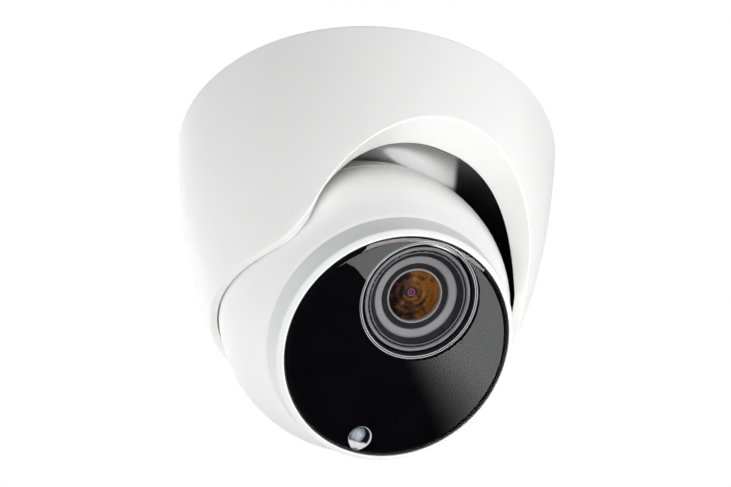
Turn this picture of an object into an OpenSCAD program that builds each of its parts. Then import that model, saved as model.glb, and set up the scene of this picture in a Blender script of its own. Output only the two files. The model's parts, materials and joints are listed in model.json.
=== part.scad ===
// Ceiling-mounted turret camera: a round housing that turns on a fixed base,
// and an eyeball that tilts in it and rolls about its own lens axis.
// The origin is the centre of the mounting face, and the camera hangs down along -Z.
// The notch of the housing faces -Y.

/* [Housing cover] */
// Radius of the cover at the ceiling
cover_r = 65.9; // [64:0.1:68]
// Depth of the cover, from the ceiling to its rim
cover_depth = 71.7; // [70.5:0.1:73]
// Wall of the cover
cover_wall = 1.8; // [1.4:0.1:2.2]
// Gap between the turning cover and the ceiling
cover_gap = 0.3; // [0.2:0.1:1]
// Radius of the hole that the rim's lip leaves for the eyeball
lip_r = 47.6; // [47.3:0.1:48]
// Thickness of the rim's lip
lip_t = 1.3; // [0.8:0.1:2]

/* [Notch] */
// Radius of the notch where it meets the inner end of its tunnel
notch_r_in = 38.6; // [37.5:0.1:39]
// Radius of the notch at the outer skin
notch_r_out = 40.3; // [39.5:0.1:41]
// Depth of the notch's centre below the ceiling
notch_drop = 70.5; // [69.5:0.1:71.5]
// Wall of the notch's tunnel
notch_wall = 2; // [1.5:0.1:2.5]

/* [Eyeball] */
// Radius of the eyeball
ball_r = 47.8; // [47.5:0.1:47.9]
// Depth of the eyeball's centre below the ceiling
ball_drop = 63.8; // [63.5:0.1:64]
// Angle of the lens axis from straight down, towards the notch
rest_tilt = 35.9; // [0:0.1:75]
// Wall of the eyeball's two shells
shell_wall = 2; // [1.8:0.1:2.2]
// Distance from the eyeball's centre to the face of its glass
face_z = 36.3; // [36:0.1:36.6]
// Radius of the front glass
glass_r = 36.5; // [36.4:0.05:36.6]

/* [Lens] */
// Height of the lens axis above the middle of the glass
lens_up = 16; // [15.8:0.1:16.5]
// Distance of the light sensor below the middle of the glass
cell_down = 31.8; // [31:0.1:31.9]
// Light sensor's distance to the right of the glass's middle, in mm
cell_side = 2.5; // [0:0.1:2.6]
// Radius of the lens barrel
barrel_r = 17.2; // [17:0.1:17.3]

/* [Mounting] */
// Radius of the base plate
base_r = 60; // [58:0.5:61]
// Radius of the circle of ceiling screws
bolt_circle_r = 52; // [50:0.5:53]
// Number of ceiling screws
bolt_count = 4; // [3:1:6]
// Radius of a ceiling screw hole
bolt_hole_r = 2.4; // [2:0.1:3]
// Radius of the cable entry in the grommet
entry_r = 3.5; // [3:0.1:5]

/* [Hidden] */
$fn = 96;
cut = 1;             // how far a cutting tool runs past a face
fuse = 0.3;          // how far joined solids run into each other

// The cover's outline is a cubic in the depth h below the ceiling.
cover_slope = 0.0988;
cover_bow = 0.000887;
cover_curl = 0.0000116;
cover_steps = 16;
function cover_radius(h) = cover_r - cover_slope * h - cover_bow * h * h - cover_curl * h * h * h;

tunnel_bore_r = 49.3;   // radius at which the notch's tunnel ends, round the ball
notch_y_in = 40;        // distance from the axis where the tunnel has its inner radius
notch_y_out = 62;
notch_taper = (notch_r_out - notch_r_in) / (notch_y_out - notch_y_in);
notch_y_near = 15;
notch_y_far = 80;

plate_t = 3.2;          // base plate
hub_r = 34;
hub_bore_r = 31;
hub_end = 9;            // depth of the hub's lower end
shoulder_r = 40;
shoulder_end = 5.3;
running = 0.05;         // radial clearance of every running fit
frame_top = 5.8;        // pan frame, a plate with two arms
frame_bottom = 8;
frame_r = 56;
arm_r_in = 49.6;
arm_r_thin = 50.6;
arm_r_thick = 52.6;
arm_half_w = 7;
arm_step = 48;
arm_end = ball_drop + 2.9;
pin_r = 1.5;
liner_r = 53;
liner_wall = 1;
liner_end = 52;
lug_angles = [90, 210, 330];
lock_h = 12;

strap_r_in = 48.15;     // tilt cradle, a steel strap round the back of the ball
strap_r_out = 49.25;
strap_w = 8;
ear_x0 = 48.1;
ear_x1 = 49.2;
crown_z0 = -46.4;
crown_z1 = -44.4;
neck_r = 7;
neck_end = -49;
back_flat = -44.2;

shell_in_r = ball_r - shell_wall;
split_front = -1.3;     // the front shell's rear edge
split_rear = -1.9;      // the rear shell's front edge
spigot_r = 45.5;
spigot_bore_r = 43.6;
spigot_end = 3.5;
crease_z = 26.7;        // where the sphere gives way to the face cone
shell_screw_r = 39;
shell_screw_angles = [30, 150, 270];
led_screw_r = 32.5;
led_screw_angles = [-10, -62, -118, -170];

glass_t = 2.3;
glass_top = face_z - 0.1;
glass_back = glass_top - glass_t;
mask_t = 0.2;
mask_back = glass_back - mask_t;
ledge_z = 33.2;
ledge_r = 33.8;
lip_in_r = glass_r + 0.2;
window_r = 19.3;
cell_window_r = 3.9;

board_t = 1.6;
led_board_z = 26.4;     // back face of the board of infrared lamps
spreader_z = 23.9;
hood_r = 19.4;
hood_bore_r = 17.9;
led_places = [[-22.6, -8.2], [-13.8, -19.7], [13.8, -19.7], [22.6, -8.2]];

body_r = 15;            // the lens body behind the barrel
body_bore_r = 13.5;
body_front = 20;
body_rear = -9.5;
rail_r = 10.2;          // distance of guide rods and lead screws from the lens axis
rod_r = 0.75;
screw_r = 1;
carriage_t = 5;
zoom_z = 9;
focus_z = -2;
motor_r = 3.3;
motor_end = -16.5;
sensor_board_z = -18.6;
bracket_z = -22.5;
bracket_t = 1.2;
main_board_z = -28;
post_x = 27;
post_y = -12;
standoff_places = [[-22, -18], [22, -18], [-22, 8], [22, 8]];
filter_step = 8.4;      // distance between the two filters of the switching blade

white = "#e8e8e6";
black = "#161618";
dark = "#3a3a3e";
steel = "#b8bac0";
alloy = "#9fa3a8";
board_green = "#1f5a3c";

// ---- shared shapes ----

// A ring about the Z axis, from z0 up to z1
module ring(r_out, r_in, z0, z1) {
    translate([0, 0, z0])
        difference() {
            cylinder(r = r_out, h = z1 - z0);
            translate([0, 0, -cut])
                cylinder(r = r_in, h = z1 - z0 + 2 * cut);
        }
}

module disc(r, z0, z1) {
    translate([0, 0, z0])
        cylinder(r = r, h = z1 - z0);
}

module block(x0, x1, y0, y1, z0, z1) {
    translate([x0, y0, z0])
        cube([x1 - x0, y1 - y0, z1 - z0]);
}

// Places in the eyeball's own frame: +Z out along the lens axis, +Y up towards the lens
module eye() {
    translate([0, 0, -ball_drop])
        rotate([180 - rest_tilt, 0, 0])
            children();
}

module on_lens_axis() {
    eye()
        translate([0, lens_up, 0])
            children();
}

// Repeats children at each angle, at distance r from the Z axis
module around(angles, r) {
    for (a = angles)
        rotate([0, 0, a])
            translate([r, 0, 0])
                children();
}

module at_places(places) {
    for (p = places)
        translate([p[0], p[1], 0])
            children();
}

// A cap-head screw standing on z = 0 with its shank along -Z
module cap_screw(head_r, head_h, shank_r, shank_l) {
    cylinder(r = head_r, h = head_h);
    translate([0, 0, -shank_l])
        cylinder(r = shank_r, h = shank_l + fuse);
}

// The notch is a shallow cone lying along -Y, a little wider at the outer skin
module notch_cone(extra) {
    translate([0, 0, -notch_drop])
        rotate([90, 0, 0])
            translate([0, 0, notch_y_near])
                cylinder(r1 = notch_r_in - (notch_y_in - notch_y_near) * notch_taper + extra,
                    r2 = notch_r_out + (notch_y_far - notch_y_out) * notch_taper + extra,
                    h = notch_y_far - notch_y_near);
}

// ---- base, fixed to the ceiling ----

module base_plate() {
    color(alloy)
        difference() {
            union() {
                disc(base_r, -plate_t, 0);
                disc(shoulder_r, -shoulder_end, -plate_t + fuse);
                disc(hub_r, -hub_end, -plate_t + fuse);
                // stop for the pan frame's pin
                block(-2, 2, 41, 44, -frame_top + 0.4, -plate_t + fuse);
            }
            disc(hub_bore_r, -hub_end - cut, -plate_t);
            disc(10, -plate_t - cut, cut);
            ring(58.5, 56, -1.2, cut);
            around([for (i = [0 : bolt_count - 1]) 45 + i * 360 / bolt_count], bolt_circle_r)
                disc(bolt_hole_r, -plate_t - cut, cut);
            around([30, 150, 270], (hub_r + hub_bore_r) / 2)
                disc(0.9, -hub_end - cut, -plate_t);
        }
}

module base_gasket() {
    color(black)
        ring(58.5, 56, -1.2, 0);
}

module cable_grommet() {
    color(black)
        difference() {
            union() {
                disc(10, -plate_t, 0);
                disc(12, -plate_t - 1.5, -plate_t);
            }
            disc(entry_r, -plate_t - 1.5 - cut, cut);
        }
}

module pan_thrust_washer() {
    color("#e9e4d6")
        ring(shoulder_r - 0.5, hub_r + 0.3, -frame_top + 0.05, -shoulder_end);
}

module pan_friction_ring() {
    color(steel)
        ring(hub_r + 4, hub_r + 0.3, -hub_end, -frame_bottom - running);
}

module pan_retainer() {
    color(steel)
        difference() {
            ring(hub_r + 4.5, 26, -hub_end - 1.8, -hub_end);
            around([30, 150, 270], (hub_r + hub_bore_r) / 2)
                disc(1.3, -hub_end - 1.8 - cut, -hub_end + cut);
        }
}

module retainer_screws() {
    color(steel)
        around([30, 150, 270], (hub_r + hub_bore_r) / 2)
            translate([0, 0, -hub_end - 1.8])
                mirror([0, 0, 1])
                    cap_screw(2.1, 1.3, 0.9, 5.5);
}

// ---- housing, turns about Z ----

module pan_frame() {
    color(dark)
        difference() {
            union() {
                ring(frame_r, hub_r + running, -frame_bottom, -frame_top);
                intersection() {
                    union() {
                        ring(arm_r_thick, arm_r_in, -arm_step, -frame_bottom + fuse);
                        ring(arm_r_thin, arm_r_in, -arm_end, -arm_step + fuse);
                    }
                    block(-frame_r, frame_r, -arm_half_w, arm_half_w, -arm_end - cut, 0);
                }
                // the pin that meets the base's stop
                translate([0, -42.5, 0])
                    disc(1.5, -frame_top - fuse, -frame_top + 1.6);
                // the tab that takes the lock screw
                block(-5, 5, 54.3, 60, -lock_h - 4, -frame_top);
            }
            translate([-frame_r, 0, -ball_drop])
                rotate([0, 90, 0])
                    cylinder(r = pin_r, h = 2 * frame_r);
            translate([0, 50, -lock_h])
                rotate([-90, 0, 0])
                    cylinder(r = 1.25, h = 15);
        }
}

module dust_liner() {
    color(black)
        difference() {
            ring(liner_r + liner_wall, liner_r, -liner_end, -frame_bottom);
            notch_cone(notch_wall + 0.3);
        }
}

module cover_skin() {
    top = cover_gap;
    span = cover_depth - top;
    inner_span = cover_depth - lip_t - top;
    rotate_extrude()
        polygon(concat(
            [for (i = [0 : cover_steps])
                let (h = top + span * i / cover_steps)
                [cover_radius(h), -h]],
            [[lip_r, -cover_depth], [lip_r, -cover_depth + lip_t]],
            [for (i = [cover_steps : -1 : 0])
                let (h = top + inner_span * i / cover_steps)
                [cover_radius(h) - cover_wall, -h]]));
}

// Everything between the tunnel's end and the middle of the cover's wall
module tunnel_zone() {
    first = 20;
    rotate_extrude()
        polygon(concat(
            [[tunnel_bore_r, -first]],
            [for (i = [0 : cover_steps])
                let (h = first + (cover_depth - 0.6 - first) * i / cover_steps)
                [cover_radius(h) - cover_wall / 2, -h]],
            [[tunnel_bore_r, -cover_depth + 0.6]]));
}

// Room beside the notch for the rim of the eyeball's face as it tilts up
module face_sweep() {
    intersection() {
        translate([0, 0, -ball_drop])
            for (side = [-1, 1])
                rotate([0, side * 90, 0])
                    rotate_extrude()
                        polygon([[0, 34], [39.9, 34], [38.1, 36], [36.5, 37.7], [35.2, 38.9],
                            [33, 39.3], [30, 39.6], [26.6, 40.2], [22, 42.4], [0, 42.4]]);
        block(-45, 45, -60, -20, -ball_drop - 20, -ball_drop + 9.5);
    }
}

module trim_cover() {
    color(white)
        difference() {
            union() {
                cover_skin();
                intersection() {
                    tunnel_zone();
                    notch_cone(notch_wall);
                }
                // lugs that hang on the pan frame
                for (a = lug_angles)
                    rotate([0, 0, a])
                        block(54.8, cover_r - cover_wall, -5, 5, -frame_top, -frame_top + 2);
            }
            notch_cone(0);
            face_sweep();
            // room for the ends of the frame's arms
            intersection() {
                disc(arm_r_thin + 0.2, -arm_end - 0.3, -50);
                block(-frame_r, frame_r, -arm_half_w - 0.4, arm_half_w + 0.4, -arm_end - 0.3, -50);
            }
            translate([0, 50, -lock_h])
                rotate([-90, 0, 0])
                    cylinder(r = 1.5, h = 25);
        }
}

module lock_screw() {
    color(steel)
        translate([0, 55, -lock_h])
            rotate([-90, 0, 0])
                difference() {
                    cylinder(r = 1.25, h = 8.6);
                    translate([0, 0, 7.4])
                        cylinder(r = 0.75, h = 2, $fn = 6);
                }
}

module tilt_pins() {
    color(steel)
        for (side = [0, 180])
            rotate([0, 0, side])
                translate([ear_x0 + 0.1, 0, -ball_drop])
                    rotate([0, 90, 0])
                        cylinder(r = pin_r, h = arm_r_thin - 0.05 - ear_x0 - 0.1);
}

// ---- cradle, tilts about X ----

module tilt_cradle() {
    color(steel)
        eye()
            difference() {
                union() {
                    difference() {
                        intersection() {
                            rotate([90, 0, 0])
                                cylinder(r = strap_r_out, h = strap_w, center = true);
                            block(-60, 60, -10, 10, crown_z0, 0);
                        }
                        intersection() {
                            rotate([90, 0, 0])
                                cylinder(r = strap_r_in, h = strap_w + 2 * cut, center = true);
                            block(-60, 60, -20, 20, crown_z1, 10);
                        }
                    }
                    disc(13, crown_z0, crown_z1);
                    for (side = [0, 180])
                        rotate([0, 0, side])
                            translate([ear_x0, 0, 0])
                                rotate([0, 90, 0])
                                    cylinder(r = strap_w / 2, h = ear_x1 - ear_x0);
                }
                rotate([0, 90, 0])
                    cylinder(r = pin_r + running, h = 120, center = true);
                disc(neck_r + running, crown_z0 - cut, crown_z1 + cut);
            }
}

// ---- eyeball, rolls about the lens axis ----

module shell_boss(z0, z1) {
    intersection() {
        sphere(r = ball_r - 0.8);
        around(shell_screw_angles, shell_screw_r)
            union() {
                disc(3.2, z0, z1);
                block(0, 6, -2, 2, z0, z1);
            }
    }
}

module rear_shell() {
    color(white)
        eye()
            difference() {
                union() {
                    difference() {
                        sphere(r = ball_r);
                        intersection() {
                            sphere(r = shell_in_r);
                            disc(60, back_flat + shell_wall, 60);
                        }
                        disc(60, -60, back_flat);
                        disc(60, split_rear, 60);
                    }
                    ring(46.6, spigot_bore_r, -8, split_rear);
                    ring(spigot_r, spigot_bore_r, split_rear - fuse, spigot_end);
                    difference() {
                        shell_boss(-24, spigot_end);
                        disc(60, spigot_end, 60);
                    }
                    disc(neck_r, neck_end, back_flat + fuse);
                }
                disc(4.5, neck_end - cut, back_flat + shell_wall + cut);
                ring(spigot_r + cut, 44.4, 0.6, 1.8);
                around(shell_screw_angles, shell_screw_r)
                    union() {
                        disc(1.4, -30, 10);
                        disc(2.6, -60, -20);
                    }
            }
}

module roll_washer() {
    color("#e9e4d6")
        eye()
            ring(11, neck_r, crown_z0 - 0.5, crown_z0 - running);
}

module roll_nut() {
    color(steel)
        eye()
            difference() {
                translate([0, 0, neck_end])
                    cylinder(r = 10.5, h = crown_z0 - 0.5 - neck_end, $fn = 6);
                disc(neck_r, neck_end - cut, crown_z0);
            }
}

module cable_gland() {
    color(black)
        eye()
            difference() {
                union() {
                    disc(4.5, neck_end, back_flat + shell_wall + fuse);
                    disc(6.5, back_flat + shell_wall, back_flat + shell_wall + 1.6);
                }
                disc(2.4, neck_end - cut, back_flat + 5);
            }
}

module shell_seal() {
    color(black)
        eye()
            ring(spigot_r + 0.1, 44.4, 0.6, 1.8);
}

// The face in section: sphere's edge, steep wall, chamfer, lip, glass seat and ledge
module face_ring() {
    rotate_extrude()
        polygon([[ledge_r, 22], [42.1, 22], [39.62, crease_z], [38.6, 34.8], [38.3, 35.3],
            [37.4, 36.1], [37.15, face_z], [lip_in_r, face_z], [lip_in_r, ledge_z],
            [ledge_r, ledge_z]]);
}

module front_cavity() {
    intersection() {
        sphere(r = shell_in_r - 0.2);
        disc(60, split_front - cut, 20.1);
    }
    rotate_extrude()
        polygon([[0, 20], [40.7, 20], [38.3, 24.6], [36.9, 30.4], [ledge_r, 32],
            [ledge_r, 40], [0, 40]]);
}

module front_shell() {
    color(white)
        eye()
            difference() {
                union() {
                    difference() {
                        union() {
                            difference() {
                                sphere(r = ball_r);
                                disc(60, -60, split_front);
                                disc(60, crease_z, 60);
                            }
                            face_ring();
                        }
                        front_cavity();
                        disc(spigot_r + 0.1, split_front - cut, 4);
                    }
                    shell_boss(4.2, 12);
                    intersection() {
                        sphere(r = ball_r - 0.8);
                        around(led_screw_angles, led_screw_r)
                            block(-3, 12, -3, 3, 15, spreader_z);
                    }
                }
                around(shell_screw_angles, shell_screw_r)
                    disc(1.25, 0, 11);
                around(led_screw_angles, led_screw_r)
                    disc(1, 17, 30);
                translate([0, lens_up, 0])
                    disc(hood_r + 0.2, 20, mask_back);
                translate([cell_side, -cell_down, 0])
                    disc(4.3, led_board_z, mask_back);
            }
}

module shell_screws() {
    color(steel)
        eye()
            around(shell_screw_angles, shell_screw_r)
                translate([0, 0, -20])
                    mirror([0, 0, 1])
                        cap_screw(2.4, 1.6, 1.25, 30);
}

module glass_seal() {
    color(black)
        eye()
            difference() {
                ring(glass_r, ledge_r, ledge_z, mask_back);
                translate([0, lens_up, 0])
                    disc(hood_r + 0.2, ledge_z - cut, mask_back + cut);
                translate([cell_side, -cell_down, 0])
                    disc(4.3, ledge_z - cut, mask_back + cut);
            }
}

module front_glass() {
    color("#20242c", 0.6)
        eye()
            disc(glass_r, glass_back, glass_top);
}

module glass_mask() {
    color("#08080a")
        eye()
            difference() {
                disc(glass_r - 0.3, mask_back, glass_back);
                translate([0, lens_up, 0])
                    disc(window_r, mask_back - cut, glass_back + cut);
                translate([cell_side, -cell_down, 0])
                    disc(cell_window_r, mask_back - cut, glass_back + cut);
            }
}

module light_sensor() {
    color("#d8dde2")
        eye()
            translate([cell_side, -cell_down, led_board_z + board_t]) {
                cylinder(r = 3.1, h = 2);
                intersection() {
                    translate([0, 0, 1.9])
                        sphere(r = 3);
                    disc(10, 1.5, 6);
                }
            }
}

module sensor_shroud() {
    color(black)
        eye()
            translate([cell_side, -cell_down, 0])
                ring(4.1, 3.3, led_board_z + board_t, mask_back);
}

module ir_lamps() {
    color("#e6dfae")
        eye()
            at_places(led_places)
                union() {
                    block(-2.5, 2.5, -2.5, 2.5, led_board_z + board_t, led_board_z + board_t + 1);
                    disc(1.4, led_board_z + board_t + 0.9, led_board_z + board_t + 1.5);
                }
}

module ir_lamp_lenses() {
    color("#dfe6ea", 0.5)
        eye()
            at_places(led_places)
                translate([0, 0, led_board_z + board_t + 1.6])
                    cylinder(r1 = 2.6, r2 = 4.4, h = 3.4);
}

module led_board() {
    color(board_green)
        eye()
            difference() {
                disc(34.5, led_board_z, led_board_z + board_t);
                translate([0, lens_up, 0])
                    disc(hood_r + 0.3, led_board_z - cut, 40);
                around(led_screw_angles, led_screw_r)
                    disc(1.1, led_board_z - cut, 40);
            }
}

module heat_spreader() {
    color(alloy)
        eye()
            difference() {
                disc(34, spreader_z, led_board_z);
                translate([0, lens_up, 0])
                    union() {
                        disc(barrel_r + 0.4, spreader_z - cut, 40);
                        for (x = [-20.5, 20.5])
                            translate([x, 0, 0])
                                disc(1.1, spreader_z - cut, 40);
                    }
                around(led_screw_angles, led_screw_r)
                    disc(1.1, spreader_z - cut, 40);
            }
}

module led_screws() {
    color(steel)
        eye()
            around(led_screw_angles, led_screw_r)
                translate([0, 0, led_board_z + board_t])
                    cap_screw(1.9, 1.3, 1, 10);
}

module lens_hood() {
    color(black)
        on_lens_axis()
            ring(hood_r, hood_bore_r, led_board_z, mask_back);
}

// The barrel in section: outer wall, stepped mouth, groove for the retainer, throat
module lens_barrel() {
    color(dark)
        on_lens_axis()
            union() {
                rotate_extrude()
                    polygon([[9.05, 20], [9.05, 28.9], [10.8, 29.6], [10.9, 27], [13.5, 27],
                        [13.5, 30.5], [15, 31.5], [15.2, 32.1], [15.6, 32.1], [15.8, 31.6],
                        [barrel_r, 31.6], [barrel_r, 20]]);
                for (side = [0, 180])
                    rotate([0, 0, side])
                        difference() {
                            union() {
                                block(barrel_r - 1, 20.5, -3.5, 3.5, 21.9, spreader_z);
                                translate([20.5, 0, 0])
                                    disc(3.5, 21.9, spreader_z);
                            }
                            translate([20.5, 0, 0])
                                disc(1.1, 20, 30);
                        }
            }
}

module lens_trim_ring() {
    color("#c9cbd0")
        on_lens_axis()
            rotate_extrude()
                polygon([[16.1, 31.6], [barrel_r, 31.6], [barrel_r, 32.4], [16.9, 32.7],
                    [16.5, 32.7], [16.1, 32.3]]);
}

module lens_retainer() {
    color("#b4b6bc")
        on_lens_axis()
            rotate_extrude()
                polygon([[10.9, 27], [13.5, 27], [13.5, 30.3], [13.2, 30.5], [11.2, 30],
                    [10.9, 29.7]]);
}

module element_ring() {
    color("#d6d8dc")
        on_lens_axis()
            rotate_extrude()
                polygon([[8.35, 25.9], [9.05, 25.9], [9.05, 29.1], [8.95, 29.4], [8.55, 29.4],
                    [8.35, 29]]);
}

module front_element() {
    color("#a8662c", 0.6)
        on_lens_axis()
            intersection() {
                disc(8.35, 24, 30);
                sphere(r = 29.2);
            }
}

module lens_screws() {
    color(steel)
        on_lens_axis()
            for (x = [-20.5, 20.5])
                translate([x, 0, 21.9])
                    mirror([0, 0, 1])
                        cap_screw(2.2, 1.5, 1.1, 4.2);
}

module lens_body() {
    color(black)
        on_lens_axis()
            difference() {
                disc(body_r, body_rear, body_front);
                disc(body_bore_r, body_rear + 1.5, body_front + cut);
                disc(4.8, body_rear - cut, body_rear + 2);
                for (x = [-rail_r, rail_r])
                    translate([x, 0, 0])
                        disc(screw_r + running, body_rear - cut, body_rear + 2);
            }
}

module iris_plate() {
    color("#0c0c0e")
        on_lens_axis()
            ring(body_bore_r, 3.2, 18.6, 19.4);
}

module guide_rods() {
    color(steel)
        on_lens_axis()
            for (y = [-rail_r, rail_r])
                translate([0, y, 0])
                    disc(rod_r, body_rear + 1.5, 18.6);
}

// A moving lens cell: side is +1 or -1, the side of its lead screw
module carriage(z0, cell_r, side) {
    difference() {
        union() {
            disc(8, z0, z0 + carriage_t);
            block(-2, 2, -rail_r, rail_r, z0, z0 + carriage_t);
            for (y = [-rail_r, rail_r])
                translate([0, y, 0])
                    disc(2, z0, z0 + carriage_t);
            block(min(0, side * rail_r), max(0, side * rail_r), -2, 2, z0, z0 + carriage_t);
            translate([side * rail_r, 0, 0])
                disc(2.2, z0, z0 + carriage_t);
        }
        disc(cell_r, z0 - cut, z0 + carriage_t + cut);
        for (y = [-rail_r, rail_r])
            translate([0, y, 0])
                disc(rod_r + running, z0 - cut, z0 + carriage_t + cut);
        translate([side * rail_r, 0, 0])
            disc(screw_r + running, z0 - cut, z0 + carriage_t + cut);
    }
}

module zoom_carriage() {
    color(dark)
        on_lens_axis()
            carriage(zoom_z, 6.5, 1);
}

module zoom_element() {
    color("#9fb7c4", 0.5)
        on_lens_axis()
            intersection() {
                disc(6.5, zoom_z, zoom_z + carriage_t);
                translate([0, 0, zoom_z + carriage_t - 18])
                    sphere(r = 18);
            }
}

module focus_carriage() {
    color(dark)
        on_lens_axis()
            carriage(focus_z, 5.6, -1);
}

module focus_element() {
    color("#9fb7c4", 0.5)
        on_lens_axis()
            intersection() {
                disc(5.6, focus_z, focus_z + carriage_t);
                translate([0, 0, focus_z + 16])
                    sphere(r = 16);
            }
}

module lead_screw(x) {
    on_lens_axis()
        translate([x, 0, 0])
            disc(screw_r, body_rear - 3, 18.2);
}

module zoom_screw() {
    color(steel)
        lead_screw(rail_r);
}

module focus_screw() {
    color(steel)
        lead_screw(-rail_r);
}

module lens_motors() {
    color("#8c8f94")
        on_lens_axis()
            for (x = [-rail_r, rail_r])
                translate([x, 0, 0])
                    difference() {
                        disc(motor_r, motor_end, body_rear);
                        disc(screw_r + running, body_rear - 3.4, body_rear + cut);
                    }
}

module filter_housing() {
    color(black)
        on_lens_axis()
            difference() {
                block(-6.6, 6.6, -14.6, 14.6, body_rear - 4, body_rear);
                block(-5.6, 5.6, -13.6, 13.6, body_rear - 2.8, body_rear - 1.2);
                disc(4.6, body_rear - 4 - cut, body_rear + cut);
            }
}

module filter_blade() {
    color("#2c2c30")
        on_lens_axis()
            difference() {
                block(-5.3, 5.3, -4.4, filter_step + 4.5, body_rear - 2.5, body_rear - 1.5);
                for (y = [0, filter_step])
                    translate([0, y, 0])
                        disc(3.7, body_rear - 4, body_rear);
            }
}

module filter_panes() {
    color("#7fc7c9", 0.6)
        on_lens_axis()
            for (y = [0, filter_step])
                translate([0, y, 0])
                    disc(3.7, body_rear - 2.5, body_rear - 1.5);
}

module chip_holder() {
    color(black)
        on_lens_axis()
            difference() {
                block(-6.8, 6.8, -8, 8, sensor_board_z + board_t, body_rear - 4);
                block(-5.6, 5.6, -6.6, 6.6, sensor_board_z, 0);
            }
}

module image_chip() {
    color("#4a3f63")
        on_lens_axis()
            block(-5, 5, -4, 4, sensor_board_z + board_t, sensor_board_z + board_t + 1.1);
}

module chip_board() {
    color(board_green)
        on_lens_axis()
            difference() {
                block(-19, 19, -17, 17, sensor_board_z, sensor_board_z + board_t);
                for (x = [-16.5, 16.5], y = [-14.5, 14.5])
                    translate([x, y, 0])
                        disc(1.1, sensor_board_z - cut, 0);
            }
}

module bracket_posts() {
    color(steel)
        eye()
            for (x = [-post_x, post_x])
                translate([x, post_y, 0])
                    disc(2.2, bracket_z + bracket_t, spreader_z);
}

module rear_bracket() {
    color(alloy)
        eye()
            difference() {
                block(-31, 31, -22, 12, bracket_z, bracket_z + bracket_t);
                block(-14, 14, -13, 3, bracket_z - cut, 0);
                for (x = [-post_x, post_x])
                    translate([x, post_y, 0])
                        disc(1.3, bracket_z - cut, 0);
            }
}

module board_standoffs() {
    color(steel)
        eye()
            at_places(standoff_places)
                disc(2, main_board_z + board_t, bracket_z);
}

module main_board() {
    color(board_green)
        eye()
            difference() {
                block(-26, 26, -22, 18, main_board_z, main_board_z + board_t);
                at_places(standoff_places)
                    disc(1.1, main_board_z - cut, 0);
            }
}

module board_parts() {
    color("#2b2b2e")
        eye() {
            block(-7.5, 7.5, -9.5, 5.5, main_board_z - 1.6, main_board_z);
            block(10, 18, -10, 2, main_board_z - 1.2, main_board_z);
            block(-18, -10, -10, 2, main_board_z - 1.2, main_board_z);
            block(-9, 9, 10, 15, main_board_z - 5, main_board_z);
            block(-14, 14, -20.5, -15.5, main_board_z - 4, main_board_z);
        }
}

module chip_heatsink() {
    color(alloy)
        eye() {
            block(-7, 7, -9, 5, main_board_z - 3, main_board_z - 1.6);
            for (i = [0 : 4])
                block(-7 + i * 3.2, -5.8 + i * 3.2, -9, 5, main_board_z - 8, main_board_z - 2.8);
        }
}

base_plate();
base_gasket();
cable_grommet();
pan_thrust_washer();
pan_friction_ring();
pan_retainer();
retainer_screws();
pan_frame();
dust_liner();
trim_cover();
lock_screw();
tilt_pins();
tilt_cradle();
rear_shell();
roll_washer();
roll_nut();
cable_gland();
shell_seal();
front_shell();
shell_screws();
glass_seal();
front_glass();
glass_mask();
light_sensor();
sensor_shroud();
ir_lamps();
ir_lamp_lenses();
led_board();
heat_spreader();
led_screws();
lens_hood();
lens_barrel();
lens_trim_ring();
lens_retainer();
element_ring();
front_element();
lens_screws();
lens_body();
iris_plate();
guide_rods();
zoom_carriage();
zoom_element();
focus_carriage();
focus_element();
zoom_screw();
focus_screw();
lens_motors();
filter_housing();
filter_blade();
filter_panes();
chip_holder();
image_chip();
chip_board();
bracket_posts();
rear_bracket();
board_standoffs();
main_board();
board_parts();
chip_heatsink();
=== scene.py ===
"""Ceiling turret camera: fine visible pieces, materials, camera and soft light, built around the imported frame."""
import json
import math

import bmesh
import bpy
import numpy as np
from mathutils import Matrix, Vector


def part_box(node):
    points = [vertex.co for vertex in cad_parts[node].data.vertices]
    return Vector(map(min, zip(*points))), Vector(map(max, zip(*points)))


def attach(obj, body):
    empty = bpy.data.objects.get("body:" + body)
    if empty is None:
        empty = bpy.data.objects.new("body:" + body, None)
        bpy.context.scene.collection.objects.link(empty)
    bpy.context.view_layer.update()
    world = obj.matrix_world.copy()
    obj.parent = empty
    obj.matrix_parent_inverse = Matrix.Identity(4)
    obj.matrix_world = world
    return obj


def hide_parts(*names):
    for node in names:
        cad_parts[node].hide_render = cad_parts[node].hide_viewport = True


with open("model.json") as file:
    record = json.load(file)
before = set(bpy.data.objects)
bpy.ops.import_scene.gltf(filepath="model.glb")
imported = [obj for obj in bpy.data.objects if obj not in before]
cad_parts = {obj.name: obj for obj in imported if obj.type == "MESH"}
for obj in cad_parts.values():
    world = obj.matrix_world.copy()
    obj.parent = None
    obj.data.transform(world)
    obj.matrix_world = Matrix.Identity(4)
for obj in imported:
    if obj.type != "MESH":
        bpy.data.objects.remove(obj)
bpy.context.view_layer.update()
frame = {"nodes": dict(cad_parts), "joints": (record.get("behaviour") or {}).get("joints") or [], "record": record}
SCENE = bpy.context.scene
MM = 0.001

# ---- the frame's own places -------------------------------------------------

JOINTS = {j["name"]: j for j in frame["joints"]}
BALL = np.array(JOINTS["tilt"]["pos_m"]) / MM
OUT = np.array(JOINTS["roll"]["axis"])
OUT = OUT / np.linalg.norm(OUT)
RIGHT = np.array([1.0, 0.0, 0.0])
UP = np.cross(OUT, RIGHT)
EYE = np.column_stack([RIGHT, UP, OUT])


def eye_place(node_name):
    """Where a CAD node's middle lies across the eyeball's face, in mm to the right and up."""
    lo, hi = (np.array(c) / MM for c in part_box(node_name))
    side, up, _ = ((lo + hi) / 2 - BALL) @ EYE
    return side, up


LENS_UP = eye_place("lens_hood")[1]
CELL_SIDE, CELL_UP = eye_place("sensor_shroud")
COVER_LO, COVER_HI = (np.array(c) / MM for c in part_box("trim_cover"))
COVER_TOP = -COVER_HI[2]
COVER_DEPTH = -COVER_LO[2]


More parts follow.
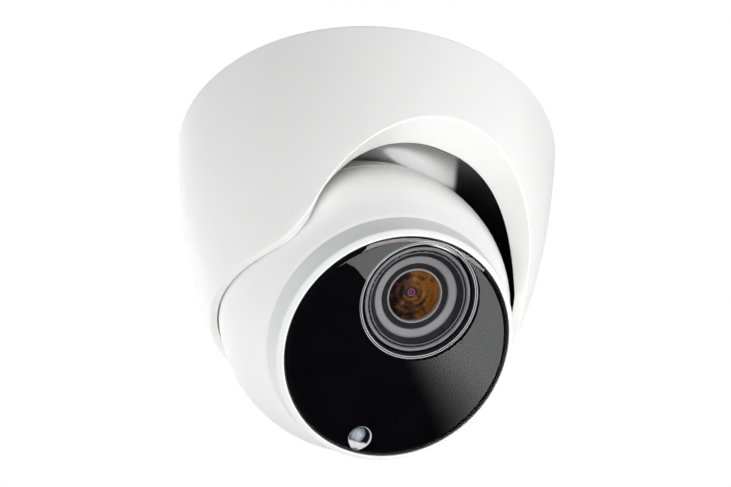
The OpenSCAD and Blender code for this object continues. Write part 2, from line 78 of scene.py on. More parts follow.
def in_eye(points, up=0.0):
    """Points in mm in the eyeball's own frame, as points in mm in the row frame."""
    p = np.asarray(points, float) + np.array([0.0, up, 0.0])
    return p @ EYE.T + BALL


# ---- mesh helpers -----------------------------------------------------------


def new_object(name, points_mm, faces, mat, body, replaced=()):
    """A piece from points in mm and faces, riding on a body and standing for CAD nodes."""
    mesh = bpy.data.meshes.new(name)
    mesh.from_pydata([tuple(p) for p in np.asarray(points_mm) * MM], [], faces)
    bm = bmesh.new()
    bm.from_mesh(mesh)
    bmesh.ops.recalc_face_normals(bm, faces=bm.faces)
    bm.to_mesh(mesh)
    bm.free()
    mesh.polygons.foreach_set("use_smooth", [True] * len(mesh.polygons))
    mesh.validate()
    obj = bpy.data.objects.new(name, mesh)
    SCENE.collection.objects.link(obj)
    for m in mat if isinstance(mat, (list, tuple)) else [mat]:
        mesh.materials.append(m)
    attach(obj, body)
    if replaced:
        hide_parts(*replaced)
    return obj


CORNER_STEPS = 4
NEARLY_STRAIGHT, NEARLY_FOLDED = 1.55, 0.02


def bend(start, corner, end, steps):
    """Points of the curve that leaves start and reaches end, drawn towards the corner between them."""
    for k in range(steps + 1):
        t = k / steps
        yield (1 - t) ** 2 * start + 2 * t * (1 - t) * corner + t * t * end


def rounded(points, closed=True):
    """A profile of (radius, height, fillet) points with its corners rounded and support points beside them."""
    pts = [np.array(p[:2], float) for p in points]
    rad = [p[2] if len(p) > 2 else 0.0 for p in points]
    out = []
    n = len(pts)
    for i, p in enumerate(pts):
        r = rad[i]
        if r <= 0 or (not closed and i in (0, n - 1)):
            out.append(p)
            continue
        a, b = pts[i - 1] - p, pts[(i + 1) % n] - p
        la, lb = np.linalg.norm(a), np.linalg.norm(b)
        a, b = a / la, b / lb
        half = math.acos(max(-1.0, min(1.0, float(a @ b)))) / 2
        if half > NEARLY_STRAIGHT or half < NEARLY_FOLDED:
            out.append(p)
            continue
        d = min(r / math.tan(half), 0.45 * la, 0.45 * lb)
        pa, pb = p + a * d, p + b * d
        if la - d > 1.2 * d:
            out.append(pa + a * 0.5 * d)
        out.extend(bend(pa, p, pb, CORNER_STEPS))
        if lb - d > 1.2 * d:
            out.append(pb + b * 0.5 * d)
    return out


def lathe(profile, segments=224, closed=True):
    """Points and faces of a profile turned about Z. A point on the axis becomes one vertex."""
    pts, rings, faces = [], [], []
    turn = np.arange(segments) * 2 * math.pi / segments
    for r, z in profile:
        if r < 1e-6:
            rings.append([len(pts)])
            pts.append((0.0, 0.0, z))
        else:
            rings.append(list(range(len(pts), len(pts) + segments)))
            pts.extend(zip(r * np.cos(turn), r * np.sin(turn), np.full(segments, z)))
    n = len(rings)
    for i in range(n if closed else n - 1):
        a, b = rings[i], rings[(i + 1) % n]
        if len(a) == 1 and len(b) == 1:
            continue
        for k in range(segments):
            m = (k + 1) % segments
            if len(a) == 1:
                faces.append((a[0], b[k], b[m]))
            elif len(b) == 1:
                faces.append((a[k], b[0], a[m]))
            else:
                faces.append((a[k], b[k], b[m], a[m]))
    return np.array(pts), faces


def turned(name, profile, mat, up=0.0, side=0.0, replaced=(), slot=None, segments=224, closed=True):
    """A lathed piece of the eyeball, its axis moved up and to the side from the middle of the glass."""
    pts, faces = lathe(profile, segments, closed)
    pts = pts + np.array([side, 0.0, 0.0])
    return new_object(name, in_eye(pts, up), faces, mat, "eyeball", replaced)


def paint(obj, index, test, up=0.0, side=0.0):
    """Gives a material slot to the faces whose (radius, height) in the eyeball's frame pass the test."""
    for poly in obj.data.polygons:
        c = (np.array(poly.center) / MM - BALL) @ EYE
        if test(math.hypot(c[0] - side, c[1] - up), c[2]):
            poly.material_index = index


def arc(radius, z_from, z_to, steps):
    """(radius, height) points on a sphere of that radius from one height to another."""
    out = []
    a0, a1 = (math.asin(max(-1, min(1, z / radius))) for z in (z_from, z_to))
    for k in range(steps + 1):
        a = a0 + (a1 - a0) * k / steps
        out.append((max(0.0, radius * math.cos(a)), radius * math.sin(a)))
    return out


# ---- materials --------------------------------------------------------------


def new_material(name):
    """A material, its node tree, and the object's own coordinates in that tree."""
    mat = bpy.data.materials.new(name)
    mat.use_nodes = True
    return mat, mat.node_tree, own_coord(mat.node_tree)


def own_coord(nt):
    return nt.nodes.new("ShaderNodeTexCoord").outputs["Object"]


def node(nt, kind, **inputs):
    """A shader node with constants on its sockets."""
    n = nt.nodes.new(kind)
    for k, v in inputs.items():
        n.inputs[k.replace("_", " ")].default_value = v
    return n


def noise(nt, coord, scale, detail=3.0, rough=0.55):
    n = node(nt, "ShaderNodeTexNoise", Scale=scale, Detail=detail, Roughness=rough)
    nt.links.new(coord, n.inputs["Vector"])
    return n.outputs["Fac"]


def ramp(nt, fac, stops):
    """Colour from a value, by (value, colour) stops."""
    r = nt.nodes.new("ShaderNodeValToRGB")
    e = r.color_ramp.elements
    while len(e) < len(stops):
        e.new(0.5)
    for el, (pos, col) in zip(e, stops):
        el.position = pos
        el.color = (*col, 1.0)
    nt.links.new(fac, r.inputs["Fac"])
    return r.outputs["Color"]


def spread(nt, fac, lo, hi):
    """Noise stretched out to run from lo to hi."""
    m = node(nt, "ShaderNodeMapRange", From_Min=0.3, From_Max=0.7, To_Min=lo, To_Max=hi)
    nt.links.new(fac, m.inputs["Value"])
    return m.outputs["Result"]


def soft_step(nt, value, lo, hi):
    """0 below lo and 1 above hi, eased between them."""
    m = node(nt, "ShaderNodeMapRange", From_Min=lo, From_Max=hi)
    m.interpolation_type = "SMOOTHSTEP"
    nt.links.new(value, m.inputs["Value"])
    return m.outputs["Result"]


def mixed(nt, share, first, second):
    """Two shaders, the second showing by the share."""
    m = nt.nodes.new("ShaderNodeMixShader")
    nt.links.new(share, m.inputs[0])
    nt.links.new(first, m.inputs[1])
    nt.links.new(second, m.inputs[2])
    return m.outputs[0]


def surface(nt):
    return nt.nodes["Material Output"].inputs["Surface"]


def material(name, color, rough, vary=0.03, patch=45.0, grain=2600.0, depth=0.00001, rough_vary=0.05,
             **constants):
    """Principled with patchy colour, uneven gloss and a fine grain, all in the object's own coordinates."""
    mat, nt, coord = new_material(name)
    p = nt.nodes["Principled BSDF"]
    large, fine = noise(nt, coord, patch), noise(nt, coord, grain)
    dark = tuple(c * (1 - vary) for c in color)
    light = tuple(min(1.0, c * (1 + vary)) for c in color)
    nt.links.new(ramp(nt, large, [(0.3, dark), (0.7, light)]), p.inputs["Base Color"])
    gloss = spread(nt, large, max(0.02, rough - rough_vary), min(1.0, rough + rough_vary))
    nt.links.new(gloss, p.inputs["Roughness"])
    bump = node(nt, "ShaderNodeBump", Strength=1.0, Distance=depth)
    nt.links.new(fine, bump.inputs["Height"])
    nt.links.new(bump.outputs["Normal"], p.inputs["Normal"])
    for k, v in constants.items():
        p.inputs[k.replace("_", " ")].default_value = v
    return mat


def lit_through(nt):
    """1 for rays that carry the lamps' light past a pane: shadow rays and diffuse bounces."""
    path = nt.nodes.new("ShaderNodeLightPath")
    return math_in(nt, "MAXIMUM", path.outputs["Is Shadow Ray"], path.outputs["Is Diffuse Ray"])


def math_in(nt, op, a, b=None):
    """One step of arithmetic on shader values and numbers."""
    m = nt.nodes.new("ShaderNodeMath")
    m.operation = op
    for i, v in enumerate((a, b)):
        if isinstance(v, (int, float)):
            m.inputs[i].default_value = v
        elif v is not None:
            nt.links.new(v, m.inputs[i])
    return m.outputs[0]


def distance_in(nt, x, y):
    """Distance from two shader values at right angles."""
    squares = math_in(nt, "ADD", math_in(nt, "MULTIPLY", x, x), math_in(nt, "MULTIPLY", y, y))
    return math_in(nt, "SQRT", squares)


def along(nt, coord, axis, origin):
    """Millimetres along an axis of the eyeball from a point, as a shader value."""
    sub = nt.nodes.new("ShaderNodeVectorMath")
    sub.operation = "SUBTRACT"
    nt.links.new(coord, sub.inputs[0])
    sub.inputs[1].default_value = tuple(np.asarray(origin) * MM)
    dot = nt.nodes.new("ShaderNodeVectorMath")
    dot.operation = "DOT_PRODUCT"
    nt.links.new(sub.outputs[0], dot.inputs[0])
    dot.inputs[1].default_value = tuple(np.asarray(axis) / MM)
    return dot.outputs["Value"]


GLASS_IOR = 1.5


def unmirrored(nt, shade=None):
    """A pane that bends the light and mirrors nothing, and that the lamps' light goes straight through."""
    bent = node(nt, "ShaderNodeBsdfRefraction", IOR=GLASS_IOR, Roughness=0.0)
    clear = nt.nodes.new("ShaderNodeBsdfTransparent")
    if shade:
        nt.links.new(shade, bent.inputs["Color"])
        nt.links.new(shade, clear.inputs["Color"])
    return mixed(nt, lit_through(nt), bent.outputs[0], clear.outputs[0])


def coated(name, tint):
    """A coated lens, with faint brown patches."""
    mat, nt, coord = new_material(name)
    nt.nodes.remove(nt.nodes["Principled BSDF"])
    shade = ramp(nt, noise(nt, coord, 90.0), [(0.35, tuple(c * 0.94 for c in tint)), (0.65, tint)])
    nt.links.new(unmirrored(nt, shade), surface(nt))
    return mat


def coat_window(mat, radius, up):
    """Within a radius of the lens axis the glass mirrors nothing."""
    nt = mat.node_tree
    before = surface(nt).links[0].from_socket
    coord = own_coord(nt)
    origin = in_eye([(0.0, up, 0.0)])[0]
    r = distance_in(nt, along(nt, coord, RIGHT, origin), along(nt, coord, UP, origin))
    inside = math_in(nt, "LESS_THAN", r, radius)
    nt.links.new(mixed(nt, inside, before, unmirrored(nt)), surface(nt))


def amber(name):
    """Painted reflections of the inner lens coatings: brown to orange colour, painted brighter to the upper right,
    in soft patches.
    """
    mat = material(name, (0.3, 0.1, 0.03), 0.35, 0.2, 300, 2800, 0.000004, Specular_IOR_Level=0.1)
    nt = mat.node_tree
    coord = own_coord(nt)
    origin = in_eye([(0.0, LENS_UP, 19.3)])[0]
    side, up = along(nt, coord, RIGHT, origin), along(nt, coord, UP, origin)
    # painted reflection: the colour grows brighter towards the upper right of the lens
    painted_lean = math_in(nt, "ADD", math_in(nt, "MULTIPLY", side, 0.045), math_in(nt, "MULTIPLY", up, 0.03))
    patch = math_in(nt, "MULTIPLY", noise(nt, coord, 420.0, 3.0, 0.6), 1.5)
    wave = math_in(nt, "SINE", math_in(nt, "MULTIPLY", distance_in(nt, side, up), 3.4))
    ripple = math_in(nt, "MULTIPLY", wave, 0.09)
    value = math_in(nt, "ADD", math_in(nt, "ADD", math_in(nt, "ADD", painted_lean, patch), ripple), -0.27)
    shade = ramp(nt, value, [(0.15, (0.012, 0.007, 0.01)), (0.42, (0.06, 0.032, 0.024)),
                             (0.62, (0.17, 0.075, 0.018)), (0.95, (0.36, 0.16, 0.03))])
    nt.links.new(shade, nt.nodes["Principled BSDF"].inputs["Base Color"])
    return mat


# the shield's painted reflection ends at a plane: its normal, and where it crosses that normal, in mm
SHADE_WAY = (-0.8644, 0.4924, 0.102)
SHADE_FROM, SHADE_TO = -32.7, -30.4


def painted_reflection_tones(name):
    """Satin grey painted as a reflection to one side of a slanting line, with painted shade making it darker away
    from the axis, and black to the other.
    """
    mat = material(name, (0.5, 0.5, 0.5), 0.42, 0.02, 40, 2600, 0.00001)
    nt = mat.node_tree
    coord = own_coord(nt)
    sep = nt.nodes.new("ShaderNodeSeparateXYZ")
    nt.links.new(coord, sep.inputs[0])
    depth = math_in(nt, "MULTIPLY", sep.outputs["Z"], -1 / (35.0 * MM))
    # painted shade: the grey darkens away from the axis, towards the notch's edge
    levels = ((0.5, 0.85), (0.6, 0.7), (0.78, 0.34), (0.95, 0.16))
    pale = ramp(nt, depth, [(at, (level,) * 3) for at, level in levels])
    dot = nt.nodes.new("ShaderNodeVectorMath")
    dot.operation = "DOT_PRODUCT"
    nt.links.new(coord, dot.inputs[0])
    dot.inputs[1].default_value = [c / MM for c in SHADE_WAY]
    # painted reflection: grey on one side of the plane, black on the other
    both = nt.nodes.new("ShaderNodeMix")
    both.data_type = "RGBA"
    nt.links.new(soft_step(nt, dot.outputs["Value"], SHADE_FROM, SHADE_TO), both.inputs[0])
    both.inputs[6].default_value = (0.01, 0.01, 0.011, 1.0)
    nt.links.new(pale, both.inputs[7])
    nt.links.new(both.outputs[2], nt.nodes["Principled BSDF"].inputs["Base Color"])
    return mat


def clear_glass(name, tint, rough=0.0):
    """Glass that lets the lamps' light through, so that what is behind it is lit."""
    mat, nt, coord = new_material(name)
    p = nt.nodes["Principled BSDF"]
    smudge = noise(nt, coord, 60.0, 4.0)
    shade = ramp(nt, smudge, [(0.35, tuple(c * 0.985 for c in tint)), (0.65, tint)])
    nt.links.new(shade, p.inputs["Base Color"])
    p.inputs["Roughness"].default_value = rough
    p.inputs["IOR"].default_value = GLASS_IOR
    p.inputs["Transmission Weight"].default_value = 1.0
    clear = node(nt, "ShaderNodeBsdfTransparent", Color=(*tint, 1.0))
    nt.links.new(mixed(nt, lit_through(nt), p.outputs[0], clear.outputs[0]), surface(nt))
    return mat


WINDOW_R = 19.35
M = {
    "cast_alloy": material("cast_alloy", (0.56, 0.57, 0.585), 0.48, 0.06, 70, 1500, 0.00006, 0.08, Metallic=0.85),
    "seal_rubber": material("seal_rubber", (0.022, 0.022, 0.023), 0.75, 0.15, 120, 2500, 0.00004, 0.1),
    "nylon": material("nylon", (0.74, 0.71, 0.62), 0.45, 0.03, 80, 2500, 0.00001),
    "steel": material("steel", (0.6, 0.61, 0.63), 0.3, 0.05, 90, 2200, 0.00001, 0.08, Metallic=1.0),
    "frame_steel": material("frame_steel", (0.035, 0.035, 0.038), 0.42, 0.1, 100, 2600, 0.00003, 0.08),
    "liner_black": material("liner_black", (0.008, 0.008, 0.009), 0.3, 0.1, 80, 3000, 0.00001, 0.06),
    "white_cover": material("white_cover", (0.84, 0.842, 0.838), 0.36, 0.006, 28, 3200, 0.000006, 0.03),
    "white_shell": material("white_shell", (0.85, 0.852, 0.85), 0.34, 0.006, 28, 3200, 0.000006, 0.03),
    # painted shade: the shell's white made darker for the band round the glass
    "band_painted_shade": material("band_painted_shade", (0.71, 0.712, 0.716), 0.42, 0.008, 60, 3600, 0.00001, 0.03),
    "mask_black": material("mask_black", (0.0025, 0.0025, 0.003), 0.5, 0.2, 90, 2400, 0.000004,
                           Specular_IOR_Level=0.0),
    "black_plastic": material("black_plastic", (0.012, 0.012, 0.013), 0.5, 0.12, 110, 2600, 0.00002, 0.08,
                              Specular_IOR_Level=0.2),
    "bead_grey": material("bead_grey", (0.5, 0.5, 0.52), 0.35, 0.05, 120, 2800, 0.000006, 0.05),
    "lamp_yellow": material("lamp_yellow", (0.7, 0.6, 0.22), 0.35, 0.08, 300, 4000, 0.00001),
    "circuit_board": material("circuit_board", (0.03, 0.13, 0.07), 0.35, 0.12, 260, 2600, 0.00002, 0.08),
    "aluminium": material("aluminium", (0.66, 0.67, 0.68), 0.32, 0.04, 90, 2400, 0.00001, 0.07, Metallic=1.0),
    "barrel_black": material("barrel_black", (0.016, 0.016, 0.018), 0.34, 0.1, 160, 3000, 0.000008, 0.06,
                             Specular_IOR_Level=0.25),
    "ring_grey": material("ring_grey", (0.27, 0.27, 0.285), 0.3, 0.05, 120, 2800, 0.000006, 0.05, Metallic=0.6),
    "ring_silver": material("ring_silver", (0.34, 0.34, 0.355), 0.34, 0.05, 120, 2800, 0.000006, 0.05, Metallic=0.5),
    "ring_bright": material("ring_bright", (0.5, 0.5, 0.52), 0.22, 0.04, 120, 2800, 0.000006, 0.05, Metallic=0.6),
    "chip_ceramic": material("chip_ceramic", (0.09, 0.09, 0.1), 0.4, 0.1, 200, 3000, 0.00001),
    "front_glass": clear_glass("front_glass", (0.96, 0.965, 0.97)),
    "optic_clear": clear_glass("optic_clear", (0.93, 0.95, 0.96)),
    "sensor_clear": clear_glass("sensor_clear", (0.9, 0.93, 0.96), 0.03),
    "coated_glass": clear_glass("coated_glass", (0.75, 0.6, 0.72)),
    "filter_glass": clear_glass("filter_glass", (0.6, 0.78, 0.8)),
    # painted shade: near black for the glass's outer edge, standing for the shadow in the gap round the glass
    "glass_edge_painted_shade": material("glass_edge_painted_shade", (0.07, 0.066, 0.064), 0.6, 0.08, 200, 2600, 0.00002),
    "ring_white": material("ring_white", (0.8, 0.8, 0.8), 0.3, 0.04, 200, 2800, 0.000004),
    "sensor_pearl": material("sensor_pearl", (0.4, 0.44, 0.5), 0.16, 0.45, 520, 2800, 0.000004,
                             Coat_Weight=1.0, Coat_Roughness=0.03),
    "front_element_glass": coated("front_element_glass", (0.97, 0.93, 0.9)),
    "coat_painted_reflection": amber("coat_painted_reflection"),
    "pupil_violet": material("pupil_violet", (0.25, 0.03, 0.2), 0.2, 0.5, 900, 2800, 0.000004,
                             Specular_IOR_Level=0.2),
    "shield_painted_reflection": painted_reflection_tones("shield_painted_reflection"),
}
coat_window(M["front_glass"], WINDOW_R, LENS_UP)
NODE_SLOT = {s["node"]: s["material_slot"] for s in frame["record"]["subparts"]}
for cad_name, cad in frame["nodes"].items():
    if not cad.data.materials:
        cad.data.materials.append(None)
    for slot_at in cad.material_slots:
        slot_at.material = M[NODE_SLOT[cad_name]]

# ---- cover, with its notch --------------------------------------------------

NOTCH_Z = -70.5
LIP_R = 47.6
TUNNEL_R = 49.3
WALL, NOTCH_WALL = 1.4, 1.25
EDGE_ROUND, INNER_ROUND = 0.5, 0.25
SKIN_ROWS = 44
SKIN_R, SKIN_1, SKIN_2, SKIN_3 = 65.9, 0.0988, 0.000887, 0.0000116


def cover_radius(h):
    """Outline of the cover, h below the ceiling, in mm."""
    return SKIN_R - SKIN_1 * h - SKIN_2 * h**2 - SKIN_3 * h**3


def smooth(rows, sigma):
    """Gaussian smoothing along a half curve that is mirrored at both ends."""
    reach = 4 * int(sigma) + 4
    k = np.arange(-reach, reach + 1)
    w = np.exp(-0.5 * (k / sigma) ** 2)
    w /= w.sum()
    last = len(rows) - 1
    idx = np.abs(np.arange(len(rows))[:, None] + k[None, :])
    idx = np.where(idx > last, 2 * last - idx, idx)
    return np.einsum("ij...,j->i...", rows[idx], w)


def resample(points, count):
    """count points evenly spaced by length along a polyline."""
    d = np.concatenate([[0], np.cumsum(np.linalg.norm(np.diff(points, axis=0), axis=1))])
    s = np.linspace(0, d[-1], count)
    return np.column_stack([np.interp(s, d, points[:, i]) for i in range(points.shape[1])])


def rim_height(theta):
    """Height of the rim at an angle from the notch's middle: it rises a little beside the notch."""
    angles = [50, 54, 58, 64, 71, 76, 180]
    return np.interp(theta, angles, [-69.0, -69.4, -70.0, -70.9, -71.55, -COVER_DEPTH, -COVER_DEPTH])


def arch(phi, radius, r_at=None):
    """Points of the notch's edge at angles about its centre: on the skin, or on the cylinder of radius r_at."""
    x, z = radius * np.sin(phi), NOTCH_Z + radius * np.cos(phi)
    r = cover_radius(-z) if r_at is None else np.full_like(x, r_at)
    return np.column_stack([x, -np.sqrt(r**2 - x**2), z])


def half_edge(outer):
    """Half of the cover's lower edge, from behind round to the top of the notch: outer or inner edge."""
    theta = np.radians(np.linspace(180, 57.5, 220))
    z = rim_height(np.degrees(theta))
    r = cover_radius(-z) if outer else np.full_like(z, LIP_R)
    rim = np.column_stack([r * np.sin(theta), -r * np.cos(theta), z])
    phi = np.radians(np.linspace(82, 0, 260))
    if outer:
        radius = np.interp(np.degrees(phi), [0, 45, 75, 90], [40.0, 40.3, 40.6, 40.9])
    else:
        radius = np.interp(np.degrees(phi), [0, 13.5, 23.5, 32, 46, 58, 66, 72, 82],
                           [37.3, 38.2, 38.9, 39.7, 40.0, 39.8, 39.5, 39.0, 38.8])
        radius = smooth(radius, 6)
    top = arch(phi, radius, None if outer else TUNNEL_R)
    return smooth(np.concatenate([resample(rim, 130), resample(top, 130)]), 2.2)


def whole(half):
    """A half curve joined to its mirror image, closed, from behind round one side and back."""
    other = half[-2:0:-1] * np.array([-1.0, 1.0, 1.0])
    return np.concatenate([half, other])


def unit(v):
    return v / np.linalg.norm(v, axis=-1, keepdims=True)


def skin_point(theta, h):
    r = cover_radius(h)
    return np.stack([r * np.sin(theta), -r * np.cos(theta), -h], axis=-1)


def skin_normal(p):
    h = -p[:, 2]
    slope = SKIN_1 + 2 * SKIN_2 * h + 3 * SKIN_3 * h**2
    radial = unit(p * np.array([1.0, 1.0, 0.0]))
    return unit(radial - np.array([0, 0, 1.0]) * slope[:, None])


def build_cover():
    edge_out, edge_in = whole(half_edge(True)), whole(half_edge(False))
    n = len(edge_out)
    tangent = unit(np.roll(edge_out, -1, 0) - np.roll(edge_out, 1, 0))
    across = unit(edge_in - edge_out)
    skin_n = skin_normal(edge_out)
    up_skin = unit(np.cross(skin_n, tangent))
    up_skin *= np.sign(up_skin[0, 2])
    flare_n = unit(np.cross(tangent, across))
    flare_n *= -np.sign(flare_n[0, 2])
    away = -flare_n
    theta_b = np.unwrap(np.arctan2(edge_out[:, 0], -edge_out[:, 1]))
    h_b = -edge_out[:, 2]
    theta_t = 0.5 * theta_b + 0.5 * np.linspace(theta_b[0], theta_b[0] - 2 * math.pi, n, endpoint=False)
    rows = []
    # top face and its rounded corner
    ring_in = skin_point(theta_t, np.full(n, COVER_TOP))
    radial = unit(ring_in * np.array([1.0, 1.0, 0.0]))
    rows.append(ring_in - radial * WALL)
    rows.append(ring_in - radial * 0.9)
    rows.extend(bend(ring_in - radial * 0.5, ring_in, ring_in - np.array([0, 0, 0.5]) + radial * -0.05, 4))
    first_skin = len(rows)
    vs = np.linspace(0, 1, SKIN_ROWS) ** 0.9
    for v in vs[1:-1]:
        h = COVER_TOP + (h_b - COVER_TOP) * v
        th = theta_b + (theta_t - theta_b) * (1 - v) ** 1.5
        rows.append(skin_point(th, h))
    last_skin = len(rows)
    rows.extend(bend(edge_out + up_skin * EDGE_ROUND, edge_out, edge_out + across * EDGE_ROUND, 5))
    width = np.linalg.norm(edge_in - edge_out, axis=1, keepdims=True)
    for k in range(1, 9):
        t = k / 9
        d = EDGE_ROUND + (width - EDGE_ROUND - 0.3) * t
        rows.append(edge_out + across * d)
    rows.extend(bend(edge_in - across * INNER_ROUND, edge_in, edge_in + away * INNER_ROUND, 3))
    rows.append(edge_in + away * NOTCH_WALL)
    c = np.sum(skin_n * flare_n, axis=1)
    p = (-WALL + NOTCH_WALL * c) / (1 - c * c)
    q = (-NOTCH_WALL + WALL * c) / (1 - c * c)
    corner = edge_out + skin_n * p[:, None] + flare_n * q[:, None]
    back_in = edge_in + away * NOTCH_WALL
    for t in (0.33, 0.66, 1.0):
        rows.append(back_in + (corner - back_in) * t)
    outer_rows = rows[first_skin:last_skin]
    for k in range(len(outer_rows) - 5, -1, -4):
        pts = outer_rows[k]
        rows.append(pts - skin_normal(pts) * WALL)
    pts = np.concatenate(rows)
    faces = []
    m = len(rows)
    for i in range(m):
        a, b = i * n, ((i + 1) % m) * n
        for k in range(n):
            j = (k + 1) % n
            faces.append((a + k, b + k, b + j, a + j))
    return new_object("cover", pts, faces, M["white_cover"], "housing", ["trim_cover"])


build_cover()

# ---- what closes the gap behind the notch -----------------------------------

liner = rounded([(53.0, -51.0, 0.2), (53.9, -51.0, 0.2), (53.9, -8.2), (53.0, -8.2)])


def ring_arc(name, profile, a0, a1, mat, replaced=(), steps=120):
    """A profile of the housing swept round its axis between two angles from the notch's middle."""
    turn = np.radians(np.linspace(a0, a1, steps))
    n = len(profile)
    pts, faces = [], []
    for t in turn:
        for r, z in profile:
            pts.append((r * math.sin(t), -r * math.cos(t), z))
    for i in range(steps - 1):
        for k in range(n):
            m = (k + 1) % n
            faces.append((i * n + k, i * n + m, (i + 1) * n + m, (i + 1) * n + k))
    faces.append(tuple(range(n - 1, -1, -1)))
    faces.append(tuple((steps - 1) * n + k for k in range(n)))
    return new_object(name, np.array(pts), faces, mat, "housing", replaced)


ring_arc("dust_liner_fine", liner, 62, 298, M["liner_black"], ["dust_liner"])

# the shield above the eyeball, a cone inside the notch's upper edge, carrying a painted reflection and painted shade
shield = [(49.05, -33.5), (26.0, -17.9), (20.0, -15.0), (14.0, -13.0), (14.0, -12.6), (26.0, -17.3),
          (49.05, -32.9)]
ring_arc("dust_shield", shield, -62, 64, M["shield_painted_reflection"], ["dust_liner"], 200)

# ---- eyeball ----------------------------------------------------------------

BALL_R = 47.8
shell_profile = (
    [(46.2, -1.3), (46.9, -1.3)]
    + [tuple(p) for p in rounded([
        (46.9, -1.3), (47.78, -1.3, 0.4), arc(BALL_R, 1.0, 2.0, 1)[0]], closed=False)[1:]]
    + arc(BALL_R, 1.5, 25.5, 40)
    + [tuple(p) for p in rounded([
        arc(BALL_R, 25.5, 25.7, 1)[1], (39.58, 26.5, 0.5), (38.58, 34.8, 0.25), (38.3, 35.35, 0.25),
        (37.5, 36.02, 0.15), (37.2, 36.28, 0.15), (36.7, 36.28, 0.1), (36.7, 33.2, 0.1), (33.8, 33.2, 0.1),
        (33.8, 32.0)], closed=False)]
    + [(36.9, 30.4), (38.3, 24.6), (40.7, 20.0)]
    + arc(45.6, 19.9, 4.0, 12)
)
shell = turned("front_shell_fine", shell_profile, [M["white_shell"], M["band_painted_shade"]], replaced=["front_shell"],
               slot="white_shell", segments=288)
# painted shade: the faces of the band between the sphere and the lip take the darker white
paint(shell, 1, lambda r, z: r > 38.5 and 26.6 < z < 34.7)

# the glass reaches 0.02 mm into its black print, as if the ink were bonded to it
GLASS_TOP, GLASS_BACK, GLASS_R = 36.2, 33.88, 36.2
glass_profile = rounded([(0, GLASS_BACK), (36.0, GLASS_BACK, 0.1), (GLASS_R, GLASS_BACK + 0.2, 0.1),
                         (GLASS_R, 35.6)], closed=False)
glass_profile += [(GLASS_R - 0.05 - 1.7 * t, 35.7 + 0.5 * (1 - (1 - t) ** 2)) for t in np.linspace(0, 1, 11)]
glass_profile += [(32.0, GLASS_TOP), (0, GLASS_TOP)]
glass = turned("front_glass_fine", glass_profile, [M["front_glass"], M["glass_edge_painted_shade"]], replaced=["front_glass"],
               slot="front_glass", segments=256, closed=False)
# painted shade: the glass's outer edge takes the near black material
paint(glass, 1, lambda r, z: 34.1 < z < 35.6 and r > 36.1)
turned("glass_seal_fine", rounded([
    (35.5, 33.22), (36.68, 33.22), (36.68, 35.95, 0.15), (36.25, 35.75, 0.12), (36.25, 33.66), (35.5, 33.66)]),
    M["seal_rubber"], replaced=["glass_seal"], slot="seal_rubber", segments=224)

lens = dict(up=LENS_UP)
hood = turned("lens_hood_fine", rounded([
    (17.9, 26.4), (19.4, 26.4, 0.2), (19.4, 33.65, 0.12), (19.02, 33.65, 0.1), (18.95, 33.2, 0.05),
    (18.78, 33.2, 0.05), (18.7, 33.6, 0.08), (18.45, 33.6, 0.08), (18.3, 33.3, 0.1), (17.9, 32.6, 0.2)]),
    [M["black_plastic"], M["bead_grey"]], replaced=["lens_hood"], slot="black_plastic", **lens)
paint(hood, 1, lambda r, z: z > 33.42 and 18.4 < r < 19.35, LENS_UP)
barrel = turned("lens_barrel_fine", rounded([
    (9.05, 20.0), (9.05, 28.9, 0.1), (10.75, 29.6, 0.1), (10.9, 27.0), (13.5, 27.0), (13.5, 30.5, 0.08),
    (14.95, 31.4, 0.15), (15.15, 32.1, 0.1), (15.45, 32.1, 0.1), (15.7, 31.6, 0.1), (17.2, 31.6, 0.1),
    (17.2, 20.0)]),
    [M["barrel_black"], M["ring_grey"]], replaced=["lens_barrel"], slot="barrel_black", **lens)
paint(barrel, 1, lambda r, z: z > 31.85 and 15.0 < r < 15.7, LENS_UP)
turned("lens_trim_ring_fine", rounded([
    (16.1, 31.6), (17.2, 31.6), (17.2, 32.4, 0.12), (16.9, 32.7, 0.12), (16.5, 32.7, 0.15), (16.1, 32.2, 0.12)]),
    M["ring_silver"], replaced=["lens_trim_ring"], slot="ring_grey", **lens)
turned("lens_retainer_fine", rounded([
    (10.9, 27.0), (13.5, 27.0), (13.5, 30.3, 0.08), (13.2, 30.5, 0.1), (13.0, 30.2, 0.08), (11.3, 29.9, 0.15),
    (10.9, 29.6, 0.08)]), M["ring_silver"], replaced=["lens_retainer"], slot="ring_silver", **lens)
turned("element_ring_fine", rounded([
    (8.35, 25.9), (9.05, 25.9), (9.05, 29.1, 0.08), (8.95, 29.4, 0.06), (8.55, 29.4, 0.1), (8.35, 29.0, 0.1)]),
    M["ring_bright"], replaced=["element_ring"], slot="ring_bright", **lens)
turned("front_element_fine", [(0.0, 25.2), (7.9, 25.2), (8.3, 25.3), (8.33, 27.9)]
       + [(8.3 * math.cos(t), 27.95 + 1.22 * math.sin(t)) for t in np.linspace(0, math.pi / 2, 14)],
       M["front_element_glass"], replaced=["front_element"], slot="optic_clear", closed=False, segments=160, **lens)
# stopped down: the painted amber reflections of the coatings lie in shallow steps round a small pupil, close behind
# the front element
IRIS_UP = 5.1
iris_profile = [(8.3, 18.62), (8.3, 19.3)] + [
    q for a, b, h in ((8.15, 6.2, 0.0), (6.0, 4.6, -0.05), (4.3, 3.3, 0.08), (3.1, 2.2, 0.0), (2.0, 1.5, 0.1))
    for q in ((a, 19.35 + h), (a - 0.12, 19.42 + h), (b + 0.1, 19.28 + h))] + [
    (1.2, 19.45), (1.08, 19.5), (0.95, 19.42), (0.8, 19.1), (0.6, 18.9), (0.0, 18.85), (0.0, 18.62)]
iris = turned("iris_plate_fine", [(r, z + IRIS_UP) for r, z in iris_profile],
              [M["coat_painted_reflection"], M["ring_bright"], M["pupil_violet"]], replaced=["iris_plate"], slot="frame_steel",
              segments=160, **lens)
paint(iris, 1, lambda r, z: 0.9 < r < 1.2 and z > 19.3 + IRIS_UP, LENS_UP)
paint(iris, 2, lambda r, z: r < 0.9 and z > 18.7 + IRIS_UP, LENS_UP)

